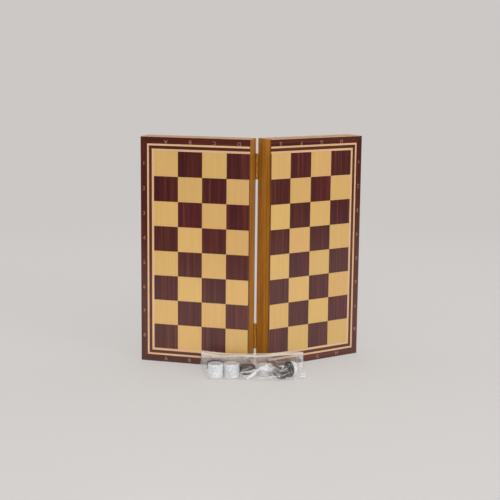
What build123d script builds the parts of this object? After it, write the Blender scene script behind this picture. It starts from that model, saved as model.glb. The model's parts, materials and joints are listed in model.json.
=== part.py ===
from build123d import *
from math import cos, radians, sin, sqrt, tan
import os

# Folding chess and backgammon board, standing on its short end and part open, with its bag of checkers.
# Millimetres, +Z up, the floor at Z = 0. The two trays are hinged along their spine rails on an upright axis.
# The playing faces look towards -Y, one to each side, and the rims and the backgammon field towards +Y.

# Playing face
square = 32.0
ranks = 8
files = 4
border_band = 8.8
light_line = 2.5
dark_line = 3.8
inner_band = 2.9
hinge_trim = 2.0  # what the file next to the hinge loses to the spine edge
veneer = 0.6
veneer_joint = 0.12
arris = 0.45

# Tray
depth = 29.5  # from the playing face to the plane where the two rims meet
rail = 9.0
core = 3.0
rim_gap = 0.3  # between the two rims when the box is closed
rim_round = 0.8
opening = 131.1  # degrees between the trays, as the box stands

# Backgammon field, inside each tray
points_across = 6
point_height = 112.0
point_spacing = 1.0

# Hinges
hinge_offset = 1.35  # from the spine rail's face to the pin's axis
hinge_length = 33.0
hinge_inset = 36.0  # from the end of the box to the middle of a hinge
leaf_thickness = 0.9
leaf_width = 7.0
leaf_gap = 0.1
knuckle_radius = 1.85
knuckles = 5
knuckle_gap = 0.12
pin_radius = 0.8
pin_clearance = 0.05
mortise_clearance = 0.2

# Hook and stud on the outer rails
latch_setback = 9.0  # from the rim plane to the hook's pivot, and to the stud
hook_thickness = 1.2
hook_width = 3.6
hook_eye = 3.1
hook_tail = 5.5  # how far the hook runs on past the stud
hook_standoff = 0.3
pivot_radius = 1.3
pivot_clearance = 0.06
pivot_head = 2.5
head_thickness = 1.1
stud_radius = 1.2
stud_head = 1.9
notch_clearance = 0.35
latch_bite = 7.0  # how deep the pivot screw and the stud go into their rails
bite_clearance = 0.03

# Checkers
checker_diameter = 19.6
checker_thickness = 4.4
stack_gap = 0.02

# Bag
film = 0.3
bag_round = 1.2
bag_corner = 4.0
bag_headroom = 0.7
zip_thickness = 0.8
zip_rise_left = 5.0
zip_rise_right = 8.0

margin = border_band + light_line + dark_line + inner_band
length = ranks * square + 2 * margin
width = files * square + margin - hinge_trim
rim = depth - rim_gap / 2
floor_face = veneer + core
turn = radians((180 - opening) / 2)
sides = {"left": -1, "right": 1}
hinge_heights = {"lower": hinge_inset, "upper": length - hinge_inset}
hook_reach = 2 * latch_setback

# The checkers in the bag, as stacks and as leaning rows: the colours from the bottom up or from the front
# back, the place from the bag's datum corner in checker diameters, and the lean and its compass bearing.
stacks = [
    ("wwww", -2.360, -1.809, 0, 0),
    ("wwww", -1.350, -1.868, 0, 0),
    ("wb", -0.256, -2.100, 15, 200),
    ("www", 0.806, -1.702, 0, 0),
    ("bb", -2.192, -0.817, 0, 0),
    ("bb", -1.187, -0.862, 0, 0),
    ("bb", -0.182, -0.954, 0, 0),
    ("bb", -2.161, 0.212, 0, 0),
]
rows = [
    ("b", 1.648, -2.552, 30.2, -57),
    ("bw", 2.262, -2.386, 88, 197),
]

# The bag's outline on the floor, in the same measure. Its back runs along the left playing face.
bag_front = [(-2.99, -2.40), (-1.36, -2.49), (0.00, -2.86), (1.40, -3.14), (2.10, -3.14), (3.26, -2.80)]
bag_back_gap = 0.112
bag_ends = (-2.99, 3.31)
zip_line = ((-2.93, 0.25), (3.23, -1.755))


def across(side):
    """Along a tray's width, from its spine to its outer rail."""
    return Vector(sides[side] * cos(turn), sin(turn), 0)


def inward(side):
    """Through a tray's depth, from its playing face to its rim."""
    return Vector(-sides[side] * sin(turn), cos(turn), 0)


def from_hinge(side, a, b, z=0.0):
    """A tray's point, a from its spine face, b from its playing face, with the hinge axis at X = Y = 0."""
    return across(side) * (a + hinge_offset) + inward(side) * (b - depth) + Vector(0, 0, z)


# The origin is midway between the tray's hindmost point, on its rounded rim, and the front of the bag.
rim_back = from_hinge("left", width - rim_round, rim - rim_round).Y + rim_round
datum_corner = from_hinge("left", 0, 0)
bag_front_y = datum_corner.Y + checker_diameter * min(y for x, y in bag_front)
hinge = Vector(0, -(rim_back + bag_front_y) / 2, 0)
datum = hinge + datum_corner


def spot(side, a, b, z=0.0):
    return hinge + from_hinge(side, a, b, z)


def face_plane(side, b):
    """A plane parallel to the playing face: x from the spine outwards, y up."""
    return Plane(origin=spot(side, 0, b), x_dir=across(side), z_dir=inward(side) * -sides[side])


def deeper(side, amount):
    """How far to extrude from a face plane to go towards the rim."""
    return -sides[side] * amount


def hinge_plane(side, z):
    """A level plane on the hinge axis: x from the axis outwards, y along the tray's depth."""
    return Plane(origin=hinge + Vector(0, 0, z), x_dir=across(side), z_dir=(0, 0, 1))


def rim_y(side, below):
    """The y of a hinge plane at a depth below the plane where the rims meet."""
    return -sides[side] * below


def outer_plane(side, b, z):
    """A plane on the outer rail's face, looking outwards: y up, and x level."""
    across_dir = across(side)
    return Plane(origin=spot(side, width, b, z), x_dir=Vector(0, 0, 1).cross(across_dir), z_dir=across_dir)


def save(part, name):
    part.label = name
    export_step(part, f"parts/{name}.step")


def nearest_edge(part, point):
    return part.edges().sort_by_distance(point)[0]


def make_core(side):
    with BuildPart() as panel_core:
        with BuildSketch(face_plane(side, veneer)):
            Rectangle(width, length, align=(Align.MIN, Align.MIN))
        extrude(amount=deeper(side, core))
    save(panel_core.part, f"{side}_panel_core")


def make_squares(side):
    for shade, name in ((0, "light"), (1, "dark")):
        with BuildPart() as squares:
            with BuildSketch(face_plane(side, 0)):
                for k in range(files):
                    low = max(0.0, k * square - hinge_trim)
                    high = (k + 1) * square - hinge_trim
                    column = files - 1 - k if side == "left" else files + k
                    for row in range(ranks):
                        if (column + row) % 2 != shade:
                            continue
                        near = low if k == 0 else low + veneer_joint / 2
                        wide = high - veneer_joint / 2 - near
                        top = length - margin - row * square - veneer_joint / 2
                        with Locations((near, top)):
                            Rectangle(wide, square - veneer_joint, align=(Align.MIN, Align.MAX))
            extrude(amount=deeper(side, veneer))
            at_spine = spot(side, 0, 0, length / 2)
            upright = squares.edges().filter_by(Axis.Z)
            hem = upright.filter_by(lambda e: (e @ 0.5 - at_spine).dot(across(side)) < arris / 2)
            chamfer(hem.filter_by(lambda e: (e @ 0.5 - at_spine).dot(inward(side)) < arris / 2), arris)
        save(squares.part, f"{side}_{name}_squares")


def frame_band(side, near, far, start=0.0):
    """A band round the three outer sides of the playing face, from near to far in from the edge."""
    with BuildPart() as band:
        with BuildSketch(face_plane(side, 0)):
            with Locations((0, near)):
                Rectangle(width - near, length - 2 * near, align=(Align.MIN, Align.MIN))
            with Locations((0, far)):
                Rectangle(width - far, length - 2 * far, align=(Align.MIN, Align.MIN), mode=Mode.SUBTRACT)
        extrude(amount=deeper(side, veneer))
    return band.part


def make_bands(side):
    half = veneer_joint / 2
    line_end = border_band + light_line
    band_start = line_end + dark_line
    with BuildPart() as border:
        add(frame_band(side, 0, border_band - half))
        for point in (
            spot(side, width, 0, length / 2),
            spot(side, width / 2, 0, length),
            spot(side, width / 2, 0, 0),
        ):
            chamfer(nearest_edge(border, point), arris)
    save(border.part, f"{side}_border_veneer")
    save(frame_band(side, border_band + half, line_end - half), f"{side}_light_line")
    save(frame_band(side, line_end + half, band_start - half), f"{side}_dark_line")
    save(frame_band(side, band_start + half, margin - half), f"{side}_inner_band")


def point_corners(k, base_z, up):
    """One backgammon point: its base lies along an end rail and its tip points to the middle."""
    pitch = (width - 2 * rail) / points_across
    middle = rail + (k + 0.5) * pitch
    half_base = (pitch - point_spacing) / 2
    return [(middle - half_base, base_z), (middle + half_base, base_z), (middle, base_z + up * point_height)]


def make_field(side):
    ends = ((rail, 1), (length - rail, -1))
    for shade, name in ((0, "light"), (1, "dark")):
        with BuildPart() as field_points:
            for base_z, up in ends:
                for k in range(points_across):
                    column = k if side == "right" else k + 1
                    if (column + (up > 0)) % 2 != shade:
                        continue
                    with BuildSketch(face_plane(side, floor_face)):
                        with BuildLine():
                            Polyline(*point_corners(k, base_z, up), close=True)
                        make_face()
                        offset(amount=-veneer_joint, kind=Kind.INTERSECTION, mode=Mode.REPLACE)
                    extrude(amount=deeper(side, veneer))
        save(field_points.part, f"{side}_{name}_points")
    with BuildPart() as ground:
        with BuildSketch(face_plane(side, floor_face)):
            with Locations((rail, rail)):
                Rectangle(width - 2 * rail, length - 2 * rail, align=(Align.MIN, Align.MIN))
            offset(amount=-veneer_joint, kind=Kind.INTERSECTION, mode=Mode.REPLACE)
        extrude(amount=deeper(side, veneer))
        for base_z, up in ends:
            for k in range(points_across):
                with BuildSketch(face_plane(side, floor_face)):
                    with BuildLine():
                        Polyline(*point_corners(k, base_z, up), close=True)
                    make_face()
                extrude(amount=deeper(side, veneer), mode=Mode.SUBTRACT)
    save(ground.part, f"{side}_field_ground")


def rail_blank(side, corners):
    """A mitred rail, from its outline on the tray's floor to the rim."""
    with BuildPart() as blank:
        with BuildSketch(face_plane(side, floor_face)):
            with BuildLine():
                Polyline(*corners, close=True)
            make_face()
        extrude(amount=deeper(side, rim - floor_face))
    return blank.part


def make_end_rails(side):
    inner_width = width - rail
    for name, end, inner in (("bottom", 0.0, rail), ("top", length, length - rail)):
        with BuildPart() as end_rail:
            add(rail_blank(side, [(0, end), (width, end), (inner_width, inner), (rail, inner)]))
            fillet(nearest_edge(end_rail, spot(side, width / 2, rim, end)), rim_round)
        save(end_rail.part, f"{side}_{name}_rail")


def make_outer_rail(side):
    inner = width - rail
    hole = pivot_radius if side == "right" else stud_radius
    with BuildPart() as outer_rail:
        add(rail_blank(side, [(width, 0), (width, length), (inner, length - rail), (inner, rail)]))
        fillet(nearest_edge(outer_rail, spot(side, width, rim, length / 2)), rim_round)
        with Locations(outer_plane(side, depth - latch_setback, length / 2)):
            Hole(hole + bite_clearance, depth=latch_bite)
    save(outer_rail.part, f"{side}_outer_rail")


def make_spine_rail(side):
    relief = knuckle_radius + mortise_clearance
    seat = leaf_gap / 2 + leaf_thickness
    with BuildPart() as spine_rail:
        add(rail_blank(side, [(0, 0), (rail, rail), (rail, length - rail), (0, length)]))
        for middle in hinge_heights.values():
            foot = middle - hinge_length / 2 - mortise_clearance
            with BuildSketch(hinge_plane(side, foot)):
                with Locations((0, rim_y(side, seat / 2))):
                    Rectangle(
                        hinge_offset + leaf_width + mortise_clearance, seat, align=(Align.MIN, Align.CENTER)
                    )
                with Locations((0, rim_y(side, relief / 2))):
                    Rectangle(relief, relief, align=(Align.MIN, Align.CENTER))
            extrude(amount=hinge_length + 2 * mortise_clearance, mode=Mode.SUBTRACT)
    save(spine_rail.part, f"{side}_spine_rail")


def knuckle_span(index):
    """The foot and the height of one knuckle, counted up from the foot of its hinge."""
    pitch = hinge_length / knuckles
    return index * pitch + knuckle_gap / 2, pitch - knuckle_gap


def make_leaf(side, name, middle):
    """A butt hinge's leaf let into the rim, with its share of the interleaved knuckles."""
    foot = middle - hinge_length / 2
    own = range(0, knuckles, 2) if side == "left" else range(1, knuckles, 2)
    seat = leaf_gap / 2 + leaf_thickness
    with BuildPart() as leaf:
        with BuildSketch(hinge_plane(side, foot)):
            with Locations((0, rim_y(side, seat - leaf_thickness / 2))):
                Rectangle(hinge_offset + leaf_width, leaf_thickness, align=(Align.MIN, Align.CENTER))
        extrude(amount=hinge_length)
        for index in range(knuckles):
            if index in own:
                continue
            low, tall = knuckle_span(index)
            with BuildSketch(hinge_plane(side, foot + low - knuckle_gap)):
                Rectangle(2 * (knuckle_radius + mortise_clearance), 4 * leaf_thickness)
            extrude(amount=tall + 2 * knuckle_gap, mode=Mode.SUBTRACT)
        for index in own:
            low, tall = knuckle_span(index)
            with BuildSketch(hinge_plane(side, foot + low)):
                Circle(knuckle_radius)
            extrude(amount=tall)
        with BuildSketch(hinge_plane(side, foot)):
            Circle(pin_radius + pin_clearance)
        extrude(amount=hinge_length, mode=Mode.SUBTRACT)
    save(leaf.part, f"{name}_hinge_{side}_leaf")


def make_pin(name, middle):
    with BuildPart() as pin:
        with BuildSketch(hinge_plane("left", middle - hinge_length / 2)):
            Circle(pin_radius)
        extrude(amount=hinge_length)
    save(pin.part, f"{name}_hinge_pin")


def make_hook():
    """A flat brass hook that hangs from its pivot and drops over the stud when the box is shut."""
    face = outer_plane("right", depth - latch_setback, length / 2).offset(hook_standoff)
    slot = stud_radius + notch_clearance
    back = slot + hook_width * 0.6
    with BuildPart() as hook:
        with BuildSketch(face):
            Circle(hook_eye)
            Rectangle(hook_width, hook_reach + hook_tail, align=(Align.CENTER, Align.MAX))
            with Locations((0, -hook_reach - hook_tail)):
                Circle(hook_width / 2)
            with Locations((hook_width / 4 - back / 2, -hook_reach)):
                RectangleRounded(back + hook_width / 2, 2 * back, hook_width / 2 - 0.1)
            Circle(pivot_radius + pivot_clearance, mode=Mode.SUBTRACT)
            with Locations((0, -hook_reach)):
                Circle(slot, mode=Mode.SUBTRACT)
                Rectangle(4 * slot, 2 * slot, align=(Align.MIN, Align.CENTER), mode=Mode.SUBTRACT)
        extrude(amount=hook_thickness)
    save(hook.part, "latch_hook")


def make_headed_pin(side, name, shank, head):
    """A round-headed pin in the outer rail: the hook's pivot screw or its stud."""
    face = outer_plane(side, depth - latch_setback, length / 2)
    under_head = 2 * hook_standoff + hook_thickness
    with BuildPart() as headed_pin:
        with BuildSketch(face.offset(-latch_bite)):
            Circle(shank)
        extrude(amount=latch_bite + under_head)
        with BuildSketch(face.offset(under_head)):
            Circle(head)
        extrude(amount=head_thickness)
        chamfer(headed_pin.faces().sort_by(Axis(face.origin, face.z_dir))[-1].edges(), head_thickness * 0.7)
    save(headed_pin.part, name)


def disc_normal(lean, bearing):
    flat = sin(radians(lean))
    return Vector(flat * cos(radians(bearing)), flat * sin(radians(bearing)), cos(radians(lean)))


def disc_rise(lean):
    """How high the middle of a leaning checker stands above its lowest point."""
    return checker_diameter / 2 * sin(radians(lean)) + checker_thickness / 2 * cos(radians(lean))


def heap():
    """Every checker in the bag: its colour, its middle and the direction of its axis."""
    rest = film + stack_gap
    for colours, x, y, lean, bearing in stacks:
        normal = disc_normal(lean, bearing)
        foot = datum + Vector(x * checker_diameter, y * checker_diameter, rest + disc_rise(lean))
        for level, colour in enumerate(colours):
            yield colour, foot + normal * (level * (checker_thickness + stack_gap)), normal
    for colours, x, y, lean, bearing in rows:
        normal = disc_normal(lean, bearing)
        level_way = Vector(normal.X, normal.Y, 0).normalized()
        pitch = (checker_thickness + stack_gap) / sin(radians(lean))
        for place, colour in enumerate(colours):
            foot = datum + Vector(x * checker_diameter, y * checker_diameter, rest + disc_rise(lean))
            yield colour, foot - level_way * (place * pitch), normal


def make_checkers(colour, name):
    radius = checker_diameter / 2
    half = checker_thickness / 2
    with BuildPart() as checkers:
        for shade, middle, normal in heap():
            if shade != colour:
                continue
            with BuildSketch(Plane(origin=middle - normal * half, z_dir=normal)):
                Circle(radius)
            extrude(amount=checker_thickness)
    save(checkers.part, name)


def bag_point(x, y):
    return datum.X + x * checker_diameter, datum.Y + y * checker_diameter


def bag_back(x):
    """The bag's back line, a little way in front of the left playing face carried on to the right."""
    return x, -x * tan(turn) - bag_back_gap / cos(turn)


def bag_height():
    tops = []
    for shade, middle, normal in heap():
        flat = sqrt(1 - min(1, normal.Z**2))
        tops.append(middle.Z + checker_diameter / 2 * flat + checker_thickness / 2 * normal.Z)
    return max(tops) + bag_headroom


def pouch(inset):
    """The bag's closed form, or with an inset its hollow inside."""
    outline = list(bag_front) + [bag_back(bag_ends[1]), bag_back(bag_ends[0])]
    with BuildPart() as form:
        with BuildSketch(Plane.XY.offset(inset)) as plan:
            with BuildLine():
                Polyline(*[bag_point(x, y) for x, y in outline], close=True)
            make_face()
            fillet(plan.vertices(), bag_corner)
            if inset:
                offset(amount=-inset, mode=Mode.REPLACE)
        extrude(amount=bag_height() - 2 * inset)
        top = form.faces().sort_by(Axis.Z)[-1]
        chamfer(top.edges(), bag_round - inset * (2 - sqrt(2)))
    return form.part


def make_bag():
    with BuildPart() as bag:
        add(pouch(0))
        add(pouch(film), mode=Mode.SUBTRACT)
    save(bag.part, "bag_film")

    (x0, y0), (x1, y1) = [bag_point(x, y) for x, y in zip_line]
    along = Vector(x1 - x0, y1 - y0, 0)
    stand = Plane(origin=(x0, y0, bag_height()), x_dir=along, z_dir=along.cross(Vector(0, 0, 1)))
    with BuildPart() as zip_strip:
        with BuildSketch(stand):
            with BuildLine():
                Polyline(
                    (0, 0), (along.length, 0), (along.length, zip_rise_right), (0, zip_rise_left), close=True
                )
            make_face()
        extrude(amount=zip_thickness / 2, both=True)
    save(zip_strip.part, "bag_zip")


os.makedirs("parts", exist_ok=True)
for side in sides:
    make_core(side)
    make_squares(side)
    make_bands(side)
    make_field(side)
    make_end_rails(side)
    make_outer_rail(side)
    make_spine_rail(side)
    for name, middle in hinge_heights.items():
        make_leaf(side, name, middle)
for name, middle in hinge_heights.items():
    make_pin(name, middle)
make_hook()
make_headed_pin("right", "latch_pivot_screw", pivot_radius, pivot_head)
make_headed_pin("left", "latch_stud", stud_radius, stud_head)
make_checkers("w", "white_checkers")
make_checkers("b", "black_checkers")
make_bag()
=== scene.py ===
import json
import math
import random
import bmesh
import bpy
import numpy as np
from mathutils import Matrix, Vector, noise
from mathutils.bvhtree import BVHTree


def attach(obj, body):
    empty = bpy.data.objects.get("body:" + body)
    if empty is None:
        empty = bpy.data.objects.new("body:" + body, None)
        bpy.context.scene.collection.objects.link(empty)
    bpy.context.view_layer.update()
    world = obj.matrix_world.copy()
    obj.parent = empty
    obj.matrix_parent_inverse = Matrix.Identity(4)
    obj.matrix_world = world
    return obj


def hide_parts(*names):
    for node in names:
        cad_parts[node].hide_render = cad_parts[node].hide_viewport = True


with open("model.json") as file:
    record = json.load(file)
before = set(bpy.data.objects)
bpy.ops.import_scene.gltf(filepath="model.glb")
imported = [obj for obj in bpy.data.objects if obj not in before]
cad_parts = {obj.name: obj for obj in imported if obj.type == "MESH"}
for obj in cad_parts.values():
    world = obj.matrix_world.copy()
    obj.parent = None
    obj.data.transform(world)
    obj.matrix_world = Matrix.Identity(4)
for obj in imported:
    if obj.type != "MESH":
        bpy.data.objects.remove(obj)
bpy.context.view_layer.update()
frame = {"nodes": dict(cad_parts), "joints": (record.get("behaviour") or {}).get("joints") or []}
nodes = frame["nodes"]
print("frame loaded:", len(nodes), "nodes")

# the hinge pins' axis, and the angle that each tray is turned back by
boardHinge = next(j for j in frame["joints"] if j["name"] == "board_hinge")
hingeAt = Vector((boardHinge["pos_m"][0], boardHinge["pos_m"][1], 0.0))
opening = math.radians(max(boardHinge["range_deg"]))
turn = (math.pi - opening) / 2

board = {
    "square": 0.032,
    "margin": 0.018,  # from the squares to the board's edge
    "depth": 0.0295,  # of one tray
    "hingeOffset": 0.00135,  # from the pins' axis to a tray's edge
    "hingeTrim": 0.002,  # what the file of squares beside the hinges lacks in width
    "ranks": 8,
    "files": 4,
}
boardLength = board["ranks"] * board["square"] + 2 * board["margin"]
boardWidth = board["files"] * board["square"] + board["margin"] - board["hingeTrim"]
sideSign = {"left": -1, "right": 1}


def acrossOf(side):
    # the way from the hinges to a tray's outer rail
    return Vector((sideSign[side] * math.cos(turn), math.sin(turn), 0))


def inwardOf(side):
    # the way in from a tray's playing face
    return Vector((-sideSign[side] * math.sin(turn), math.cos(turn), 0))


def spot(side, a, b, z):
    # a from the tray's hinge edge, b in from its playing face, z up
    return (hingeAt + acrossOf(side) * (a + board["hingeOffset"])
            + inwardOf(side) * (b - board["depth"]) + Vector((0, 0, z)))


def linear(r, g, b):
    # a colour as a screen shows it, 0 to 255, in the values that a shader takes
    out = []
    for c in (r, g, b):
        c = c / 255
        out.append(c / 12.92 if c <= 0.04045 else ((c + 0.055) / 1.055) ** 2.4)
    return (*out, 1.0)


def tones(*stops):
    return [(at, linear(*colour)) for at, colour in stops]


def grey(v):
    return (v, v, v, 1.0)


def dimmed(colour, shares):
    return (*(c * share for c, share in zip(colour, shares)), 1.0)


class Nodes:
    # the nodes of a material or of the world, and short ways to add and join them

    def __init__(self, owner, kind="Material"):
        owner.use_nodes = True
        self.owner = owner
        self.tree = owner.node_tree
        self.tree.nodes.clear()
        self.output = self.tree.nodes.new("ShaderNodeOutput" + kind)

    def add(self, kind, sockets=None, **fields):
        node = self.tree.nodes.new("ShaderNode" + kind)
        for key, value in fields.items():
            setattr(node, key, value)
        for key, value in (sockets or {}).items():
            if isinstance(value, bpy.types.NodeSocket):
                self.tree.links.new(value, node.inputs[key])
            else:
                node.inputs[key].default_value = value
        return node

    def done(self, shader):
        self.tree.links.new(shader, self.output.inputs[0])
        return self.owner

    def place(self):
        return self.add("TexCoord").outputs["Object"]

    def split(self, vector):
        return self.add("SeparateXYZ", {"Vector": vector}).outputs

    def noise(self, place, scale, detail, roughness=0.5, distortion=0.0, read="Fac"):
        return self.add("TexNoise", {"Vector": place, "Scale": scale, "Detail": detail,
                                     "Roughness": roughness, "Distortion": distortion}).outputs[read]

    def math(self, how, *values):
        return self.add("Math", dict(enumerate(values)), operation=how).outputs[0]

    def vector(self, how, *values):
        return self.add("VectorMath", dict(enumerate(values)), operation=how).outputs[0]

    def scaled(self, value, times, plus):
        return self.math("ADD", self.math("MULTIPLY", value, times), plus)

    def average(self, one, two, share):
        # the second has this share, and the first has the rest
        return self.math("ADD", self.math("MULTIPLY", one, 1 - share), self.math("MULTIPLY", two, share))

    def fade(self, value, start, end, how="SMOOTHSTEP", ends=(0.0, 1.0)):
        return self.add("MapRange", {"Value": value, "From Min": start, "From Max": end, "To Min": ends[0],
                                     "To Max": ends[1]}, interpolation_type=how).outputs[0]

    def ramp(self, value, stops):
        node = self.add("ValToRGB", {0: value})
        elements = node.color_ramp.elements
        while len(elements) < len(stops):
            elements.new(0.5)
        for element, (at, colour) in zip(elements, stops):
            element.position = at
            element.color = colour
        return node.outputs[0]

    def mix(self, share, one, two):
        # a Mix node takes colours at 6 and 7, and vectors at 4 and 5
        return self.add("Mix", {0: share, 6: one, 7: two}, data_type="RGBA").outputs[2]

    def bump(self, height, strength, depth):
        return self.add("Bump", {"Height": height, "Strength": strength, "Distance": depth}).outputs[0]

    def shader(self, kind, sockets):
        return self.add(kind, sockets).outputs[0]

    def over(self, share, one, two):
        # the second shader covers this share of the first
        return self.add("MixShader", {0: share, 1: one, 2: two}).outputs[0]


def newMaterial(name):
    return Nodes(bpy.data.materials.new(name))


def trayPlace(n, side):
    # the same a, b and z that spot takes, with a negative on the left
    sockets = {"Location": spot(side, 0, 0, 0), "Rotation": (0, 0, sideSign[side] * turn)}
    return n.add("Mapping", {"Vector": n.place(), **sockets}, vector_type="TEXTURE").outputs["Vector"]


def turnedGrain(n, place, side):
    # the grain of a frame follows each of its sides, mitred at the outer corners
    x, y, z = n.split(place)
    fromEnd = n.math("MINIMUM", z, n.math("SUBTRACT", boardLength, z))
    fromRim = n.math("SUBTRACT", boardWidth, n.math("MULTIPLY", x, sideSign[side]))
    level = n.math("LESS_THAN", fromEnd, fromRim)
    turned = n.add("CombineXYZ", {"X": z, "Y": y, "Z": x}).outputs[0]
    return n.add("Mix", {0: level, 4: place, 5: turned}, data_type="VECTOR").outputs[1]


def cutSquares(n, place, side, look):
    # each square comes from another part of the sheet, with its own tone and hue
    x, _, z = n.split(place)
    fromTrim = n.math("ADD", x, sideSign[side] * board["hingeTrim"])
    column = n.math("FLOOR", n.math("DIVIDE", fromTrim, look["cell"]))
    row = n.math("FLOOR", n.math("DIVIDE", n.math("SUBTRACT", z, board["margin"]), look["cell"]))
    key = n.add("CombineXYZ", {"X": column, "Y": row, "Z": look["seed"]}).outputs[0]
    white = n.add("TexWhiteNoise", {"Vector": key}, noise_dimensions="3D").outputs
    moved = n.vector("MULTIPLY", white["Color"], look["sheetReach"])
    hue = n.add("SeparateColor", {"Color": white["Color"]}).outputs[1]
    return n.vector("ADD", place, moved), white["Value"], hue


def edgeTone(n, place, side, edge, colour):
    # an arris by the spine gets another tone, darker on the squares and core, pale with a painted highlight
    # on the rail's rim, solid at first and then fading out
    x, y, _ = n.split(place)
    fromSpine = n.math("MULTIPLY", x, sideSign[side])
    if edge["way"] == "across":
        amount = n.fade(fromSpine, edge["solid"], edge["gone"], "LINEAR", (1.0, 0.0))
    else:
        deep = n.fade(y, edge["solid"], edge["gone"], "LINEAR", (1.0, 0.0))
        amount = n.math("MULTIPLY", n.math("LESS_THAN", fromSpine, edge["within"]), deep)
    return n.mix(amount, colour, edge["colour"])


def woodMaterial(name, side, look):
    n = newMaterial(name)
    flat = trayPlace(n, side)
    place = turnedGrain(n, flat, side) if look["grain"] == "frame" else flat
    if look["cell"]:
        place, tone, hue = cutSquares(n, place, side, look)
    else:
        x, y, z = look["sheetStep"]
        place = n.vector("ADD", place, (look["seed"] * x, y, look["seed"] * z))
    along, across = look["along"], look["across"]
    scale = (along, across, across) if look["grain"] == "x" else (across, across, along)
    stretched = n.vector("MULTIPLY", place, scale)
    warped = n.vector("ADD", stretched, n.noise(stretched, *look["warp"], read="Color"))
    grain = n.average(n.noise(warped, *look["broad"]), n.noise(warped, *look["fine"]), look["fineShare"])
    poreMask = n.ramp(n.noise(stretched, *look["poreNoise"]), look["poreStops"])
    pored = n.math("MULTIPLY", poreMask, look["pores"])
    colour = n.mix(pored, n.ramp(grain, look["stops"]), look["poreColour"])
    if look["cell"]:
        colour = n.vector("MULTIPLY", colour, n.scaled(tone, 2 * look["toneSpread"], 1 - look["toneSpread"]))
        turned = n.scaled(hue, look["hueSpread"], 0.5 - look["hueSpread"] / 2)
        colour = n.add("HueSaturation", {"Color": colour, "Hue": turned}).outputs[0]
    if look["edge"]:
        colour = edgeTone(n, flat, side, look["edge"], colour)
    rough = n.scaled(grain, look["roughSpread"], look["rough"] - look["roughSpread"] / 2)
    return n.done(n.shader("BsdfPrincipled", {
        "Base Color": colour, "Roughness": rough, "Normal": n.bump(grain, *look["bump"]),
        "Specular IOR Level": look["specular"], "Coat Weight": look["coat"],
        "Coat Roughness": look["coatRough"]}))


# the squares' and the core's darker arrises at the spine, and inside the gap the spine rail's rim, partly
# worn pale wood and partly a painted highlight
squareEdge = {"way": "across", "solid": 0.0004, "gone": 0.0009, "colour": linear(104, 58, 22)}
coreEdge = {"way": "inward", "within": 0.001, "solid": 0.0016, "gone": 0.0027, "colour": linear(96, 60, 14)}
rimWearAndHighlight = {"way": "inward", "within": 0.001, "solid": board["depth"] - 0.0004,
           "gone": board["depth"] - 0.0010, "colour": linear(238, 200, 150)}

# what every wood has unless it says otherwise; a noise is given by its scale, detail and roughness
everyWood = {
    "warp": (0.35, 2.0),
    "broad": (1.0, 3.0, 0.55),
    "fine": (4.5, 5.0, 0.65),
    "poreNoise": (9.0, 2.0, 0.5),
    "poreStops": [(0.30, grey(1)), (0.42, grey(0))],
    "bump": (0.12, 0.0002),
    "specular": 0.4,
    "coat": 0.9,
    "coatRough": 0.14,
    "seed": 0.0,
    "sideSeed": {"left": 0.0, "right": 0.6},
    "sheetStep": (0.37, 0.11, 0.23),  # how far over the sheet one step of the seed moves the cut
    "sheetReach": (0.7, 0.7, 0.7),  # how far over the sheet the squares are picked from
    "cell": None,
    "edge": None,
}

woods = {
    "lightSquares": {
        "grain": "z", "along": 12.0, "across": 330.0, "fineShare": 0.45, "cell": board["square"],
        "stops": tones((0.25, (205, 162, 94)), (0.5, (211, 169, 101)), (0.75, (216, 176, 110))),
        "poreColour": linear(196, 152, 88), "pores": 0.05, "toneSpread": 0.035, "hueSpread": 0.010,
        "rough": 0.40, "roughSpread": 0.10, "edge": squareEdge},
    "darkSquares": {
        "grain": "z", "along": 5.0, "across": 360.0, "fineShare": 0.45, "cell": board["square"], "seed": 3.0,
        "stops": tones((0.36, (54, 6, 8)), (0.47, (74, 15, 12)), (0.54, (86, 24, 17)), (0.64, (108, 46, 34))),
        "poreColour": linear(36, 10, 12), "pores": 0.4, "toneSpread": 0.07, "hueSpread": 0.012,
        "rough": 0.38, "roughSpread": 0.10, "edge": squareEdge},
    "border": {
        "grain": "frame", "along": 6.0, "across": 260.0, "fineShare": 0.45, "seed": 5.0,
        "stops": tones((0.34, (56, 6, 0)), (0.5, (80, 19, 2)), (0.66, (104, 38, 15))),
        "poreColour": linear(44, 14, 8), "pores": 0.4, "rough": 0.40, "roughSpread": 0.12},
    "paleLine": {
        "grain": "frame", "along": 14.0, "across": 400.0, "fineShare": 0.5, "seed": 7.0,
        "stops": tones((0.25, (206, 160, 116)), (0.5, (220, 176, 134)), (0.75, (230, 192, 152))),
        "poreColour": linear(190, 144, 94), "pores": 0.15, "rough": 0.42, "roughSpread": 0.1},
    "darkLine": {
        "grain": "frame", "along": 9.0, "across": 300.0, "fineShare": 0.5, "seed": 9.0,
        "stops": tones((0.28, (58, 18, 0)), (0.5, (84, 33, 2)), (0.75, (102, 48, 10))),
        "poreColour": linear(40, 14, 4), "pores": 0.3, "rough": 0.42, "roughSpread": 0.1},
    "rail": {
        "grain": "z", "along": 7.0, "across": 260.0, "fineShare": 0.5, "seed": 11.0,
        "stops": tones((0.35, (134, 85, 22)), (0.5, (180, 120, 39)), (0.65, (208, 152, 64))),
        "poreColour": linear(108, 66, 14), "pores": 0.65, "rough": 0.45, "roughSpread": 0.12,
        # the rim inside the gap is painted pale: worn wood and a painted highlight
        "coat": 0.08, "coatRough": 0.25, "edge": rimWearAndHighlight},
    "fieldGround": {
        "grain": "z", "along": 8.0, "across": 200.0, "fineShare": 0.45, "seed": 15.0,
        "stops": tones((0.25, (158, 100, 46)), (0.5, (180, 122, 62)), (0.75, (198, 142, 80))),
        "poreColour": linear(130, 78, 34), "pores": 0.3, "rough": 0.42, "roughSpread": 0.12},
}
woods["core"] = dict(woods["rail"], edge=coreEdge)

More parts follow.
